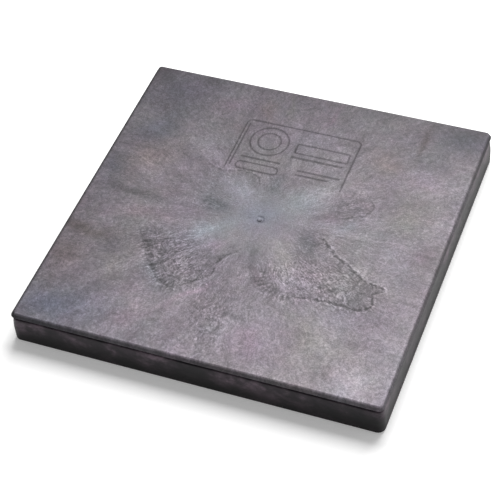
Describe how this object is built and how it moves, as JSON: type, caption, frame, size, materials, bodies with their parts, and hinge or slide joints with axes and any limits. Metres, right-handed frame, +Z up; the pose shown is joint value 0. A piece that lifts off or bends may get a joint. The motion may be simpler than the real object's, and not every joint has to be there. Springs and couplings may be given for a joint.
{
  "type": "equipment pad",
  "caption": "Square moulded plastic pad with a steep edge band, rounded skirt, ribbed interior and a grooved marking panel.",
  "frame": {"origin": "middle of the underside, on the surface the pad lies on", "axes": "+Z up through the pad's thickness, +Y toward the edge that the marking panel is nearest to, +X to the panel's right"},
  "size_m": [0.762, 0.762, 0.0762],
  "materials": {
    "deck_plastic": "marbled grey and mauve, semi-gloss",
    "tray_plastic": "marbled dark grey, satin",
    "seal_foam": "matt closed-cell foam",
    "screw_steel": "zinc plated"
  },
  "bodies": {
    "root": {"deck_cover": "deck_plastic", "perimeter_seal": "seal_foam", "base_tray": "tray_plastic", "assembly_screws": "screw_steel"}
  },
  "joints": []
}
